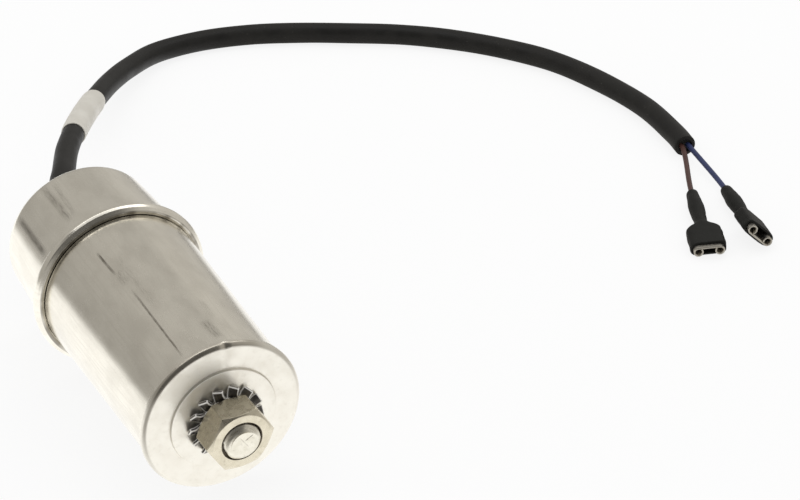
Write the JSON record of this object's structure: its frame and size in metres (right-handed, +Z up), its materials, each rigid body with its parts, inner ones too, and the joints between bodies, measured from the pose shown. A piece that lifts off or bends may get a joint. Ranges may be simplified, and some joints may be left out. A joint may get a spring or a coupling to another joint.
{
  "type": "motor run capacitor",
  "caption": "Sealed round metal capacitor can with a threaded mounting stud and nut, a rolled-on end cap, and a black cable tail with push-on receptacles.",
  "frame": {"origin": "on the surface it lies on, below the middle of the can, cap, stud and outlet, without the cable", "axes": "+Z up; +Y along the can from its stud to its cable outlet; +X to the side the cable is laid on"},
  "size_m": [0.1852, 0.1941, 0.0399],
  "materials": {
    "can_metal": "drawn, satin, lightly scuffed",
    "cap_metal": "drawn, satin, lightly scuffed",
    "grommet_rubber": "matt",
    "washer_steel": "dark, bright at its edges",
    "nut_plate": "yellowish plating",
    "sheath_black": "satin",
    "marker_white": "satin",
    "wire_brown": "smooth",
    "wire_blue": "smooth",
    "tin_plate": "tinned, dull",
    "boot_black": "soft, dull"
  },
  "bodies": {
    "root": {"can": "can_metal", "end_cap": "cap_metal", "cable_grommet": "grommet_rubber", "lock_washer": "washer_steel", "hex_nut": "nut_plate", "cable": "sheath_black", "marker_sleeve": "marker_white", "brown_wire": "wire_brown", "blue_wire": "wire_blue", "brown_receptacle": "tin_plate", "blue_receptacle": "tin_plate", "brown_boot": "boot_black", "blue_boot": "boot_black"}
  },
  "joints": []
}
